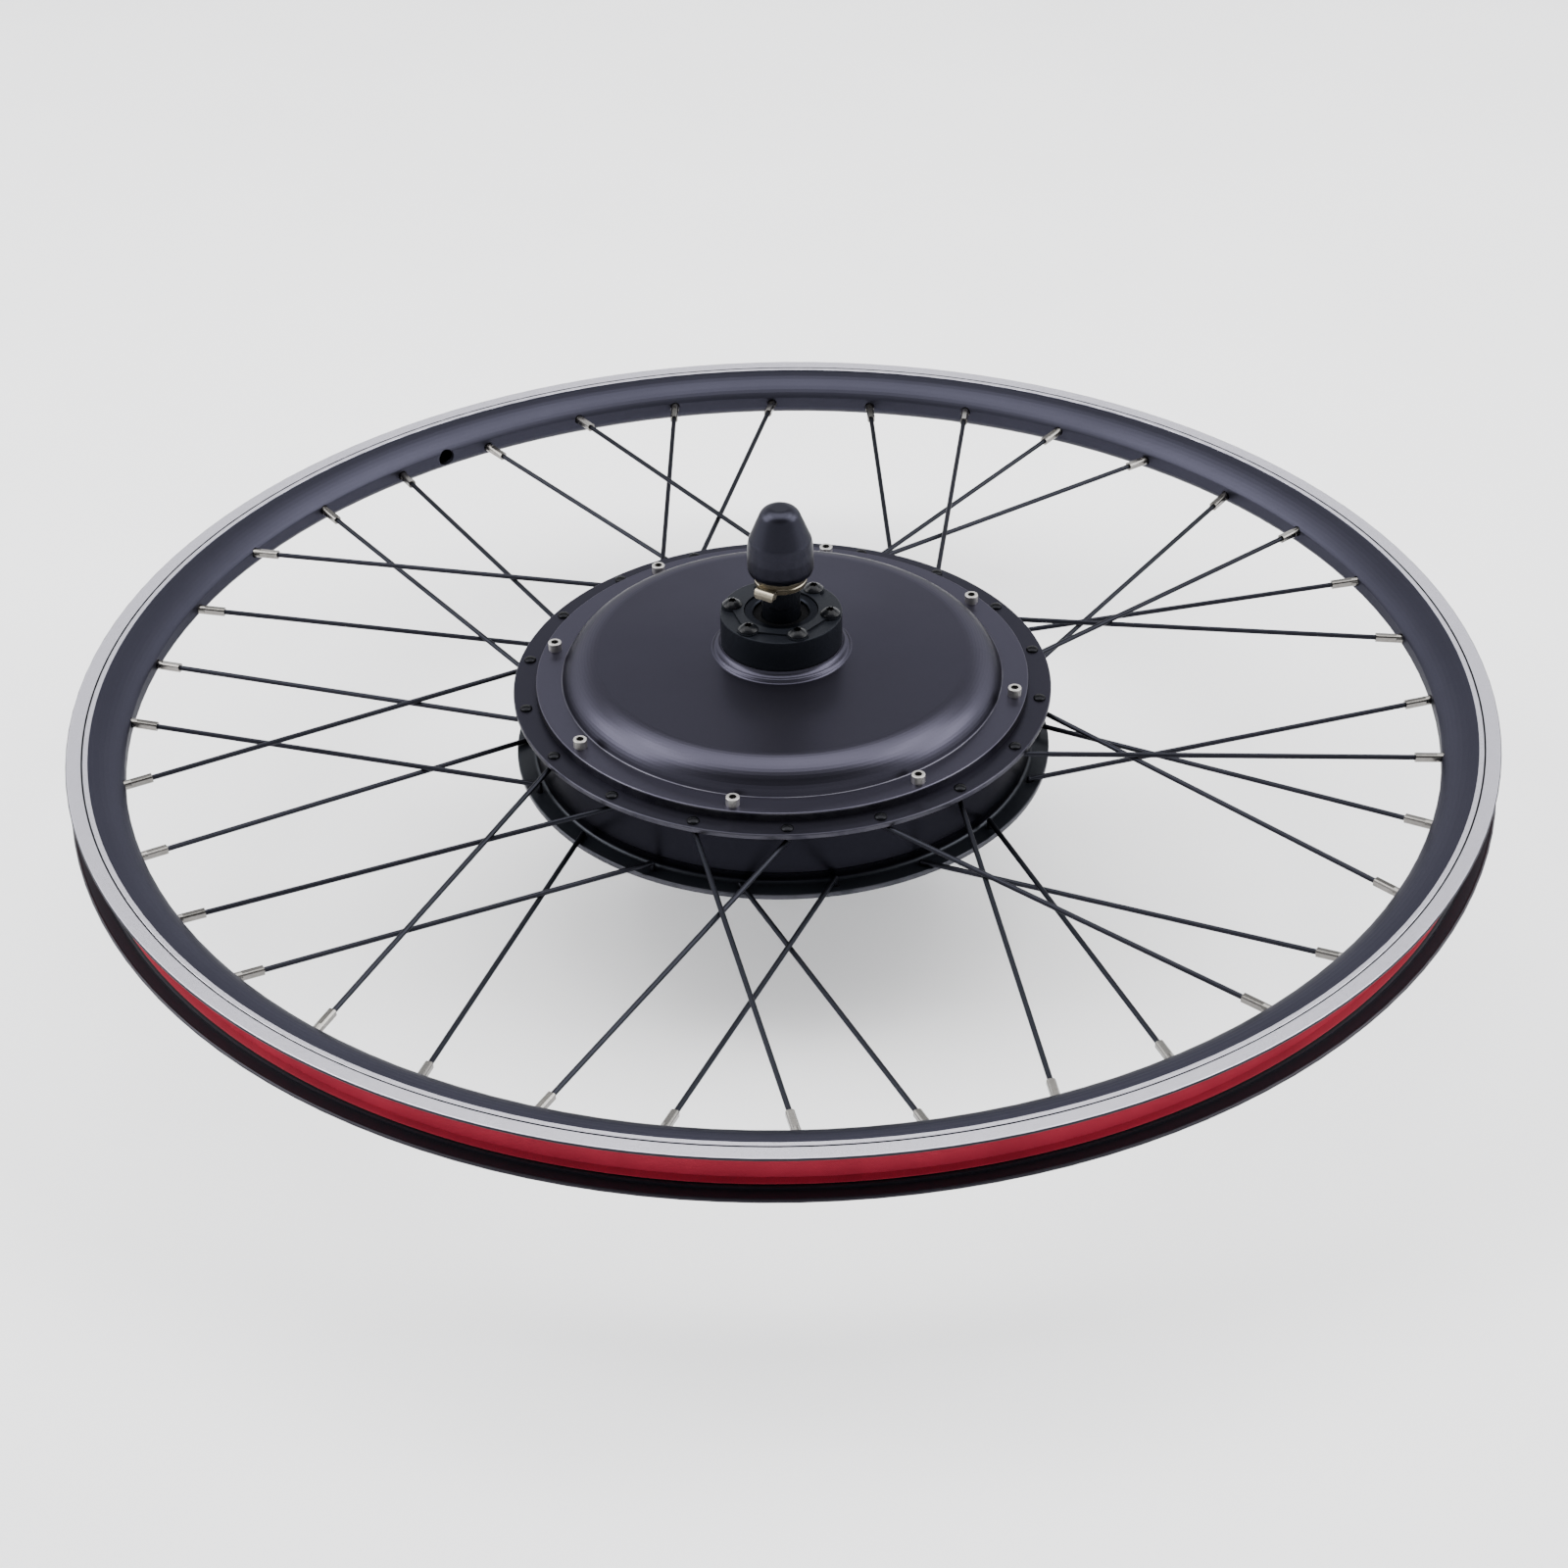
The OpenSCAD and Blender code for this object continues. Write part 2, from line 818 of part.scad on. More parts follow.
module windings() {
  color("chocolate")
    for (i = [0:teeth_n - 1])
      rotate([0, 0, i * 360 / teeth_n])
        translate([coil_in, 0, 0])
          difference() {
            translate([0, -coil_w / 2, -coil_half]) cube([coil_out - coil_in, coil_w, 2 * coil_half]);
            translate([-1, -tooth_w / 2 - coil_play, -core_half - coil_play])
              cube([coil_out - coil_in + 2, tooth_w + 2 * coil_play, 2 * core_half + 2 * coil_play]);
          }
}

module hall_board() {
  color("darkgreen")
    translate([0, 0, core_half])
      linear_extrude(board_t)
        polygon(concat(
          [for (i = [0:board_n]) at(core_back - board_edge, i * board_span / board_n)],
          [for (i = [board_n:-1:0]) at(core_in + board_edge, i * board_span / board_n)]));
}

// ---- axle group ----
module axle_end() {
  intersection() {
    rotate_extrude()
      polygon([[0, -1], [thread_r, -1], [thread_r, axle_end_l - end_break],
               [thread_r - end_break, axle_end_l], [0, axle_end_l]]);
    translate([-thread_r - 1, -flats_w / 2, -2]) cube([2 * thread_r + 2, flats_w, axle_end_l + 4]);
  }
}

module axle() {
  color("black")
    difference() {
      union() {
        rod(brg_in, -drop_z, drop_z);
        rod(mid_r, mid_low, mid_up);
        translate([0, 0, drop_z]) axle_end();
        mirror([0, 0, 1]) translate([0, 0, drop_z]) axle_end();
      }
      tube(brg_in + 1, brg_in - neck_deep, neck_z, neck_z + neck_w);
      translate([0, 0, -end_z - 1]) cylinder(r = bore_r, h = end_z + 1 + bore_top, $fn = 48);
      translate([-slot_w / 2, -mid_r - 1, slot_low]) cube([slot_w, mid_r + 1, slot_up - slot_low]);
      translate([-key_w / 2 - slip, key_low - slip, -key_l / 2 - slip])
        cube([key_w + 2 * slip, mid_r, key_l + 2 * slip]);
    }
}

module axle_key() {
  color("silver")
    translate([-key_w / 2, key_low, -key_l / 2]) cube([key_w, key_up - key_low, key_l]);
}

module both_ends() {
  translate([0, 0, drop_z]) children();
  mirror([0, 0, 1]) translate([0, 0, drop_z]) children();
}

// washer blank with both edges broken
module washer_disc() {
  rotate_extrude()
    polygon([[0, 0], [washer_r - washer_break, 0], [washer_r, washer_break],
             [washer_r, washer_t - washer_break], [washer_r - washer_break, washer_t], [0, washer_t]]);
}

// bent tab: plate, rounded bend and rounded corners, local X outward
module washer_tab() {
  rotate([90, 0, 90])
    linear_extrude(tab_t)
      polygon(concat(
        [[-tab_w / 2, washer_t - tab_bend]],
        arc([tab_round - tab_w / 2, washer_t - tab_l + tab_round], tab_round, 180, 270, 5),
        arc([tab_w / 2 - tab_round, washer_t - tab_l + tab_round], tab_round, 270, 360, 5),
        [[tab_w / 2, washer_t - tab_bend]]));
  rotate([90, 0, 0])
    linear_extrude(tab_w, center = true)
      polygon(concat([[-tab_root, 0], [-tab_root, washer_t], [0, washer_t]],
                     arc([tab_t - tab_bend, washer_t - tab_bend], tab_bend, 90, 0, 6),
                     [[tab_t, 0]]));
}

module torque_washers() {
  color("khaki")
    both_ends() {
      difference() {
        washer_disc();
        translate([0, 0, -1])
          linear_extrude(washer_t + 2)
            intersection() {
              circle(washer_hole, $fn = 48);
              square([2 * washer_hole + 1, flats_w + 0.2], center = true);
            }
      }
      place(washer_r, tab_turn) washer_tab();
    }
}

module flat_washers() {
  color("khaki")
    both_ends()
      translate([0, 0, washer_t])
        difference() {
          washer_disc();
          rod(washer_hole, -1, washer_t + 1);
        }
}

module axle_nuts() {
  color("silver")
    both_ends()
      translate([0, 0, 2 * washer_t])
        linear_extrude(nut_h)
          difference() {
            intersection() {
              circle(nut_af / 2 / cos(30), $fn = 6);
              circle(nut_af / 2 / cos(30) - nut_break);
            }
            circle(thread_r + nut_play, $fn = 48);
          }
}

module axle_cap() {
  nut_top = drop_z + 2 * washer_t + nut_h;
  color("black")
    difference() {
      rotate_extrude()
        polygon(concat(
          [[0, cap_low]],
          arc([cap_r - cap_slope_r - cap_edge, cap_low + cap_edge], cap_edge, 270, 330, 4),
          arc([cap_r - cap_round, cap_low + cap_slope_h], cap_round, -28, 0, 4),
          [[cap_r, cap_cyl - cap_blend],
           [cap_r - fine_break, cap_cyl + cap_blend],
           [cap_waist_r + fine_break, cap_waist - cap_soft],
           [cap_waist_r, cap_waist],
           [cap_waist_r - 2 * fine_break, cap_waist + cap_soft]],
          arc([cap_nose, cap_top - cap_round], cap_round, cap_taper, 90, 10),
          [[0, cap_top]]));
      rod(cap_in, cap_low - 1, nut_top);
      rod(cap_bore, nut_top - 1, cap_bore_top);
    }
}

axle();
axle_key();
stator_carrier();
stator_core();
windings();
hall_board();
bearing_inner_races();
bearing_outer_races();
bearing_balls();
bearing_cages();
axle_seals();
torque_washers();
flat_washers();
axle_nuts();
axle_cap();
hub_shell();
rotor_yoke();
magnets();
brake_side_cover();
drive_side_cover();
cover_screws();
disc_mount();
disc_screws();
spokes_brake_leading();
spokes_brake_trailing();
spokes_drive_leading();
spokes_drive_trailing();
nipples();
rim();
rim_tape();
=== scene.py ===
import math

import bmesh
import bpy
from mathutils import Matrix, Vector


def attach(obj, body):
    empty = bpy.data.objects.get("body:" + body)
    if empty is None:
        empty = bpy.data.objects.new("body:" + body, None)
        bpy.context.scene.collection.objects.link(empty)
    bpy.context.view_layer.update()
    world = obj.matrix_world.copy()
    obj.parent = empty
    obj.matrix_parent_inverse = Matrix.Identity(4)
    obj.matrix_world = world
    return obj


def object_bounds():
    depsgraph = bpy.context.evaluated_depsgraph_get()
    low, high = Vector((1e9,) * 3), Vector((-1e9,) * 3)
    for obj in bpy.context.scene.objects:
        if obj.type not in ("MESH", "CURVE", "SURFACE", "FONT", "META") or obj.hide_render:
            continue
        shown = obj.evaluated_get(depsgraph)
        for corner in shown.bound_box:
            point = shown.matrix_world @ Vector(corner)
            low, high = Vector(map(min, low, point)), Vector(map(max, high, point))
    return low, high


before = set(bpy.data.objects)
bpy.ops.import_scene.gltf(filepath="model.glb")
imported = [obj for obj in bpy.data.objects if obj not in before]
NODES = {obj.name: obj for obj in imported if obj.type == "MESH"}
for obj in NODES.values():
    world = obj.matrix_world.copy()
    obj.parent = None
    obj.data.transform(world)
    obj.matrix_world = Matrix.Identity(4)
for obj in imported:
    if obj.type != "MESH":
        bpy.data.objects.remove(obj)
CAD_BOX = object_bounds()
MM = 0.001

# ------------------------------------------------------------------ camera
CAMERA_AT = Vector((0.0001, -1.2377, 0.8180))
CAMERA_TO = Vector((0.0001, -0.0735, 0.0107))
CAMERA_LENS = 75.67
CAMERA_ROLL = math.radians(-0.87)


def make_camera():
    data = bpy.data.cameras.new("camera")
    data.sensor_width = 36
    data.lens = CAMERA_LENS
    cam = bpy.data.objects.new("camera", data)
    bpy.context.scene.collection.objects.link(cam)
    forward = (CAMERA_TO - CAMERA_AT).normalized()
    right = forward.cross(Vector((0, 0, 1))).normalized()
    up = right.cross(forward)
    tilted_right = right * math.cos(CAMERA_ROLL) + up * math.sin(CAMERA_ROLL)
    tilted_up = -right * math.sin(CAMERA_ROLL) + up * math.cos(CAMERA_ROLL)
    turn = Matrix((tilted_right, tilted_up, -forward)).transposed()
    cam.matrix_world = Matrix.Translation(CAMERA_AT) @ turn.to_4x4()
    bpy.context.scene.camera = cam


# ------------------------------------------------------------------ light and floor
# stops of the sky: upward part of a direction (0 at or below the horizon, 1 straight up) and its brightness
SKY_STOPS = [(0.0, 1.0), (0.50, 1.0), (0.55, 0.08), (0.85, 0.10), (1.0, 0.40)]
# sky strength from the camera's side to the far side: Y part of the direction from and to, strength from and to
SKY_SIDE = (-0.55, 0.45, 1.15, 2.9)
SKY_TINT = (0.97, 0.98, 1.0)
FLOOR_GAP = 0.0006
FLOOR_SIZE = 14
FLOOR_DIM = (0.885, 0.885, 0.89)
FLOOR_WHITE = (0.915, 0.915, 0.92)


def area_light(name, at, size, power):
    """A soft rectangular light aimed at the middle of the part."""
    data = bpy.data.lights.new(name, "AREA")
    data.shape = "RECTANGLE"
    data.size, data.size_y = size
    data.energy = power
    light = bpy.data.objects.new(name, data)
    bpy.context.scene.collection.objects.link(light)
    light.location = at
    aim = Vector() - Vector(at)
    light.rotation_euler = aim.to_track_quat("-Z", "Y").to_euler()


def make_sky():
    """Bright up to 30 degrees, a darker zone above that and a soft zenith, like a studio sweep."""
    world = bpy.data.worlds.new("studio")
    bpy.context.scene.world = world
    world.use_nodes = True
    tree = world.node_tree
    sky = tree.nodes["Background"]
    coords = tree.nodes.new("ShaderNodeTexCoord")
    split = tree.nodes.new("ShaderNodeSeparateXYZ")
    ramp = tree.nodes.new("ShaderNodeValToRGB")
    tree.links.new(coords.outputs["Generated"], split.inputs[0])
    tree.links.new(split.outputs[2], ramp.inputs["Fac"])
    tree.links.new(ramp.outputs["Color"], sky.inputs["Color"])
    elements = ramp.color_ramp.elements
    while len(elements) < len(SKY_STOPS):
        elements.new(0.5)
    for element, (where, level) in zip(elements, SKY_STOPS):
        element.position = where
        element.color = (*(level * part for part in SKY_TINT), 1)
    side = tree.nodes.new("ShaderNodeMapRange")
    tree.links.new(split.outputs[1], side.inputs["Value"])
    for socket, value in zip(("From Min", "From Max", "To Min", "To Max"), SKY_SIDE):
        side.inputs[socket].default_value = value
    tree.links.new(side.outputs[0], sky.inputs["Strength"])


def make_lights():
    make_sky()
    area_light("overhead", (0.0, 0.30, 1.76), (2.6, 1.7), 66)
    area_light("left_soft", (-2.4, 0.1, 1.9), (2.0, 2.4), 112)
    area_light("right_soft", (2.4, 0.1, 1.9), (2.0, 2.4), 104)


def make_floor():
    low = CAD_BOX[0][2] - FLOOR_GAP
    bpy.ops.mesh.primitive_plane_add(size=FLOOR_SIZE, location=(0, 0, low))
    floor = bpy.context.object
    floor.name = "floor"
    mat = Build("floor_paint")
    mat.shader.inputs["Roughness"].default_value = 0.85
    tone = mat.noise(6.0, 3, 0.5)
    mat.link(mat.ramp(tone, [(0.3, FLOOR_DIM), (0.7, FLOOR_WHITE)]), "Base Color")
    floor.data.materials.append(mat.data)


# ------------------------------------------------------------------ material builder
class Build:
    """A Principled material in object space, with short calls for its usual nodes."""

    def __init__(self, name):
        self.data = bpy.data.materials.new(name)
        self.data.use_nodes = True
        self.tree = self.data.node_tree
        self.shader = self.tree.nodes["Principled BSDF"]
        self.coords = self.tree.nodes.new("ShaderNodeTexCoord").outputs["Object"]

    def node(self, kind, **settings):
        made = self.tree.nodes.new(kind)
        for key, value in settings.items():
            setattr(made, key, value)
        return made

    def wire(self, source, socket):
        if isinstance(source, (int, float)):
            socket.default_value = source
        else:
            self.tree.links.new(source, socket)

    def link(self, source, socket):
        self.wire(source, self.shader.inputs[socket])

    def math(self, operation, a, b=0.0):
        made = self.node("ShaderNodeMath", operation=operation)
        self.wire(a, made.inputs[0])
        self.wire(b, made.inputs[1])
        return made.outputs[0]

    def noise(self, scale, detail, rough, stretch=(1, 1, 1)):
        mapping = self.node("ShaderNodeMapping")
        mapping.inputs["Scale"].default_value = stretch
        self.wire(self.coords, mapping.inputs["Vector"])
        made = self.node("ShaderNodeTexNoise")
        made.inputs["Scale"].default_value = scale
        made.inputs["Detail"].default_value = detail
        made.inputs["Roughness"].default_value = rough
        self.wire(mapping.outputs[0], made.inputs["Vector"])
        return made.outputs["Fac"]

    def ramp(self, source, stops):
        made = self.node("ShaderNodeValToRGB")
        self.wire(source, made.inputs["Fac"])
        elements = made.color_ramp.elements
        while len(elements) < len(stops):
            elements.new(0.5)
        for element, (where, colour) in zip(elements, stops):
            element.position = where
            element.color = (*colour, 1)
        return made.outputs["Color"]

    def levels(self, source, low, high):
        made = self.node("ShaderNodeMapRange")
        made.inputs["To Min"].default_value = low
        made.inputs["To Max"].default_value = high
        self.wire(source, made.inputs["Value"])
        return made.outputs[0]

    def step(self, source, edge, soft):
        """0 below edge, 1 above it, with a ramp of soft to each side."""
        made = self.node("ShaderNodeMapRange", interpolation_type="SMOOTHSTEP")
        made.inputs["From Min"].default_value = edge - soft
        made.inputs["From Max"].default_value = edge + soft
        self.wire(source, made.inputs["Value"])
        return made.outputs[0]

    def mix(self, mask, a, b):
        made = self.node("ShaderNodeMix", data_type="RGBA")
        self.wire(mask, made.inputs[0])
        self.tint(a, made.inputs[6])
        self.tint(b, made.inputs[7])
        return made.outputs[2]

    def blend(self, mask, a, b):
        made = self.node("ShaderNodeMix", data_type="FLOAT")
        self.wire(mask, made.inputs[0])
        self.wire(a, made.inputs[2])
        self.wire(b, made.inputs[3])
        return made.outputs[0]

    def tint(self, value, socket):
        if isinstance(value, tuple):
            socket.default_value = (*value, 1)
        else:
            self.tree.links.new(value, socket)

    def split(self):
        """X, Y and Z of the point, in the shared frame."""
        made = self.node("ShaderNodeSeparateXYZ")
        self.wire(self.coords, made.inputs[0])
        return made.outputs

    def invert(self, mask):
        return self.math("SUBTRACT", 1.0, mask)

    def length(self, a, b):
        """Length of the vector with sides a and b."""
        squares = self.math("MULTIPLY", a, a), self.math("MULTIPLY", b, b)
        return self.math("SQRT", self.math("ADD", *squares))

    def radius(self):
        """Distance from the axle axis."""
        x, y, _ = self.split()
        return self.length(x, y)

    def height(self):
        """Distance from the rim's mid plane, the same on both sides."""
        return self.math("ABSOLUTE", self.split()[2])

    def waves(self, source, pitch):
        """Sine of a length, one wave for each pitch."""
        return self.math("SINE", self.math("MULTIPLY", source, 2 * math.pi / pitch))

    def between(self, source, low, high, soft):
        """1 where source lies between low and high."""
        return self.math("SUBTRACT", self.step(source, low, soft), self.step(source, high, soft))

    def recess(self, ring, count, first, size):
        """1 inside a socket of radius size on each of count screws on a circle of radius ring."""
        x, y, _ = self.split()
        pitch = 2 * math.pi / count
        angle = self.math("SUBTRACT", self.math("ARCTAN2", y, x), math.radians(first))
        turn = self.math("ADD", self.math("DIVIDE", angle, pitch), 0.5)
        off = self.math("SUBTRACT", self.math("FRACT", turn), 0.5)
        radius = self.radius()
        side = self.math("MULTIPLY", self.math("MULTIPLY", off, pitch), radius)
        reach = self.length(side, self.math("SUBTRACT", radius, ring))
        return self.invert(self.step(reach, size, SHARP))

    def either(self, a, b):
        return self.math("MAXIMUM", a, b)

    def both(self, a, b):
        return self.math("MULTIPLY", a, b)

    def bump(self, source, strength, distance):
        made = self.node("ShaderNodeBump")
        made.inputs["Strength"].default_value = strength
        made.inputs["Distance"].default_value = distance
        self.wire(source, made.inputs["Height"])
        self.tree.links.new(made.outputs[0], self.shader.inputs["Normal"])

    def turned(self, pitch):
        """Fine circular machining lines about the axle, with some grain: about 0 to 1."""
        rings = self.waves(self.radius(), pitch)
        grain = self.noise(420, 2, 0.6, (1, 1, 0.2))
        return self.math("ADD", self.math("MULTIPLY", rings, 0.5), grain)


def scaled(colour, gain):
    return tuple(gain * part for part in colour)


def coated(name, deep, light, rough, grain=1500.0, grain_depth=0.00003, metallic=0.0, level=0.5, graze=1.0):
    """Satin paint, anodising or oxide: mottled colour, fine grain and faint scuffs."""
    mat = Build(name)
    tone, mat.speck = mottle(mat, grain)
    mat.base = mat.ramp(tone, [(0.3, deep), (0.72, light)])
    scratch = mat.step(mat.noise(900, 5, 0.75, (1, 6, 0.4)), 0.72, 0.05)
    scuffed = tuple(part + SCUFF for part in light)
    mat.base = mat.mix(mat.math("MULTIPLY", scratch, 0.35), mat.base, scuffed)
    mat.link(mat.base, "Base Color")
    mat.link(mat.levels(tone, rough + 0.06, rough - 0.05), "Roughness")
    mat.shader.inputs["Metallic"].default_value = metallic
    mat.shader.inputs["Specular IOR Level"].default_value = level
    mat.shader.inputs["Specular Tint"].default_value = (graze, graze, graze, 1)
    mat.bump(mat.speck, 0.25, grain_depth)
    return mat


def mottle(mat, grain):
    """A soft cloud with fine specks, and the specks alone."""
    cloud = mat.noise(14, 4, 0.55)
    speck = mat.noise(grain, 3, 0.6)
    tone = mat.math("ADD", mat.math("MULTIPLY", cloud, 0.7), mat.math("MULTIPLY", speck, 0.3))
    return tone, speck


def bare_metal(name, dark, light, rough, stretch=(1, 1, 1), scale=260.0, depth=0.00002):
    """Bare or plated metal with directional brushing and stains."""
    mat = Build(name)
    lines = mat.noise(scale, 4, 0.65, stretch)
    stain = mat.noise(38, 3, 0.5)
    tone = mat.math("ADD", mat.math("MULTIPLY", lines, 0.5), mat.math("MULTIPLY", stain, 0.5))
    mat.base = mat.ramp(tone, [(0.28, dark), (0.7, light)])
    mat.link(mat.base, "Base Color")
    mat.link(mat.levels(tone, rough + 0.12, rough - 0.08), "Roughness")
    mat.shader.inputs["Metallic"].default_value = 1.0
    mat.bump(lines, 0.3, depth)
    return mat


# ------------------------------------------------------------------ finishes
SLATE_DEEP = (0.0305, 0.0292, 0.0408)
SLATE_LIGHT = (0.0378, 0.0362, 0.0500)
RING_GAIN = 1.3
FLANGE_DEEP = (0.0232, 0.0226, 0.0312)
FLANGE_LIGHT = (0.0282, 0.0274, 0.0378)
SLATE_WORN = (0.085, 0.083, 0.097)
SLATE_ROUGH = 0.31
SLATE_METAL = 0.94
SLATE_GRAZE = 0.5
SCUFF = 0.01
NEAR_BLACK = (0.0045, 0.0052, 0.0070)
SOFT_BLACK = (0.0085, 0.0095, 0.0130)
# painted shade: the hub shell's drum and lower flange, under the upper flange; the lower flange's tone and
# LOW_METAL lift it a little out of its shadow
DRUM_SHADE = (0.0068, 0.0068, 0.0102)
LOW_FLANGE_SHADE = (0.0140, 0.0158, 0.0205)
LOW_METAL = 0.65
# painted shade in the disc screws' sockets
GLOSS_SOCKET_SHADE = (0.001, 0.001, 0.0012)
RIM_DEEP = (0.0245, 0.0243, 0.0347)
RIM_LIGHT = (0.0302, 0.0299, 0.0424)
RIM_ROUGH = 0.42
# painted shade for the rim's tyre channel, with CHANNEL_METAL
CHANNEL_SHADE = (0.0150, 0.0136, 0.0190)
CHANNEL_METAL = 0.45
TRACK_DARK = (0.470, 0.458, 0.515)
TRACK_LIGHT = (0.600, 0.586, 0.650)
TAPE_DARK = (0.235, 0.0115, 0.0265)
TAPE_LIGHT = (0.295, 0.0155, 0.0345)
WIRE_DEEP = (0.0120, 0.0125, 0.0165)
WIRE_LIGHT = (0.0175, 0.0180, 0.0235)
WIRE_ROUGH = 0.36
WIRE_METAL = 0.9
# painted shade for the spoke heads
HEAD_SHADE = (0.0040, 0.0042, 0.0056)
# painted highlight on the washers' edges and tab
GOLD_HIGHLIGHT = (0.27, 0.242, 0.188)
SCREW_DARK = (0.30, 0.29, 0.28)
SOCKET_SHADE = 0.3

# where one finish, painted shade or painted highlight gives way to another, in metres: radii from the axle,
# heights from the rim's mid plane
SLEEVE_R = 0.0167
SLEEVE_Z = 0.037
RING_Z = 0.0205
RING_LINE_Z = (0.0200, 0.0214)
RING_LINE_IN = (0.0980, 0.0985)
RING_LINE_OUT = (0.1094, 0.1099)
FLANGE_EDGE_R = 0.1197
FLANGE_Z = 0.0146
LOW_FLANGE_Z = -0.0135
TRACK_IN = 0.3074
TRACK_OUT = 0.31655
TRACK_Z = 0.01092
LIP_Z = 0.01075
GROOVE_AT = 0.3099
GROOVE_HALF = 0.00042
WASHER_EDGE_R = 0.0110
WASHER_TAB_R = 0.0117
WASHERS_Z = (0.0679, 0.0719)
WASHER_JOINT_Z = (0.0696, 0.0703)
HEAD_Z = 0.0168
HEAD_R = 0.119

# how soft such a border is
SHARP = 0.0001
FINE = 0.00006

# screws: radius of their circle, number, angle of the first in degrees, radius of a socket
DISC_SCREWS = (0.022, 6, -71.3, 0.0018)
COVER_SCREWS = (0.1046, 8, -101.9, 0.0017)


def slate_coat(name, deep, light, rough):
    return coated(name, deep, light, rough, metallic=SLATE_METAL, graze=SLATE_GRAZE)


def rubbed(mat):
    """Patches where handling has rubbed an edge."""
    return mat.step(mat.noise(60, 4, 0.6), 0.42, 0.12)


def slate_material():
    """Slate satin coat, worn at the raised ring's edges; the ring is lighter and the axle sleeve black."""
    mat = slate_coat("slate_satin", SLATE_DEEP, SLATE_LIGHT, SLATE_ROUGH)
    radius = mat.radius()
    height = mat.height()
    inner = mat.both(mat.between(radius, *RING_LINE_IN, SHARP), mat.between(height, *RING_LINE_Z, SHARP))
    edges = mat.either(inner, mat.between(radius, *RING_LINE_OUT, SHARP))
    worn = mat.math("MULTIPLY", mat.both(edges, rubbed(mat)), 0.6)
    colour = mat.mix(worn, mat.base, SLATE_WORN)
    ring = mat.both(mat.step(radius, RING_LINE_IN[1], SHARP), mat.step(height, RING_Z, SHARP))
    colour = mat.mix(mat.both(ring, mat.invert(worn)), colour, scaled(SLATE_LIGHT, RING_GAIN))
    sleeve = mat.both(mat.invert(mat.step(radius, SLEEVE_R, SHARP)), mat.step(height, SLEEVE_Z, 0.0005))
    mat.link(mat.mix(sleeve, colour, SOFT_BLACK), "Base Color")
    return mat


def shell_material():
    """The shell's upper flange is slate; the drum is painted near black and the lower flange black as painted
    shade under the upper flange, the lower flange a little lighter and less metallic than the drum; with rubbed
    edges.
    """
    mat = slate_coat("shell_satin", FLANGE_DEEP, FLANGE_LIGHT, SLATE_ROUGH)
    z = mat.split()[2]
    # painted shade: everything below the upper flange is painted near black
    drum_shade = mat.invert(mat.step(z, FLANGE_Z, 0.0004))
    edge = mat.both(mat.step(mat.radius(), FLANGE_EDGE_R, SHARP), rubbed(mat))
    colour = mat.mix(drum_shade, mat.base, DRUM_SHADE)
    # painted shade on the lower flange, a little lighter and less metallic than the drum
    low = mat.invert(mat.step(z, LOW_FLANGE_Z, 0.0004))
    colour = mat.mix(low, colour, LOW_FLANGE_SHADE)
    mat.link(mat.mix(mat.math("MULTIPLY", edge, 0.35), colour, SLATE_WORN), "Base Color")
    mat.link(mat.blend(low, SLATE_METAL, LOW_METAL), "Metallic")
    return mat


def rim_material():
    """Slate satin body, the tyre channel between the lips painted darker and less metallic as painted shade,
    and a machined brake track with a black wear groove on each side.
    """
    mat = slate_coat("rim_finish", RIM_DEEP, RIM_LIGHT, RIM_ROUGH)
    height = mat.height()
    radius = mat.radius()
    track = mat.both(mat.step(height, TRACK_Z, 0.00003), mat.between(radius, TRACK_IN, TRACK_OUT, FINE))
    groove = mat.between(radius, GROOVE_AT - GROOVE_HALF, GROOVE_AT + GROOVE_HALF, FINE)
    track = mat.both(track, mat.invert(groove))
    lines = mat.turned(0.00035)
    silver = mat.ramp(lines, [(0.1, TRACK_DARK), (0.9, TRACK_LIGHT)])
    # painted shade: the tyre channel between the lips is painted darker and less metallic than the body
    channel_shade = mat.both(mat.step(radius, TRACK_IN, 0.0002), mat.invert(mat.step(height, LIP_Z, SHARP)))
    dark = mat.mix(groove, mat.mix(channel_shade, mat.base, CHANNEL_SHADE), NEAR_BLACK)
    mat.link(mat.mix(track, dark, silver), "Base Color")
    mat.link(mat.blend(channel_shade, SLATE_METAL, CHANNEL_METAL), "Metallic")
    coat_rough = mat.levels(mat.speck, RIM_ROUGH + 0.05, RIM_ROUGH - 0.05)
    mat.link(mat.blend(track, coat_rough, mat.levels(lines, 0.36, 0.27)), "Roughness")
    mat.bump(mat.blend(track, mat.speck, lines), 0.2, 0.00003)
    return mat


# weave of the tape: warp waves in each radian of turn, and the pitch of the weft in metres
WARP_WAVES = 320
WEFT_PITCH = 0.0011


def tape_material():
    """Woven polymer tape, red."""
    mat = Build("tape_weave")
    x, y, z = mat.split()
    warp = mat.math("SINE", mat.math("MULTIPLY", mat.math("ARCTAN2", y, x), 2 * math.pi * WARP_WAVES))
    weave = mat.math("MULTIPLY", warp, mat.waves(z, WEFT_PITCH))
    tone = mat.math("ADD", mat.math("MULTIPLY", weave, 0.12), mat.noise(30, 4, 0.6))
    mat.link(mat.ramp(tone, [(0.3, TAPE_DARK), (0.7, TAPE_LIGHT)]), "Base Color")
    mat.link(mat.levels(tone, 0.66, 0.54), "Roughness")
    mat.shader.inputs["Specular IOR Level"].default_value = 0.12
    mat.bump(weave, 0.35, 0.00008)
    return mat


# rim tape, in mm: bed corner and bead seat as radius and height, and the sizes of a turned-up margin
BED_CORNER = Vector((306.3, 6.7))
BEAD_CORNER = Vector((311.0, 8.3))
TAPE_HALF = 6.35
TAPE_THICK = 0.9
TAPE_LIFT = 0.02
MARGIN_LIFT = 0.05
MARGIN_WIDTH = 3.3
MARGIN_TIP = 0.25
MARGIN_TURNS = 720


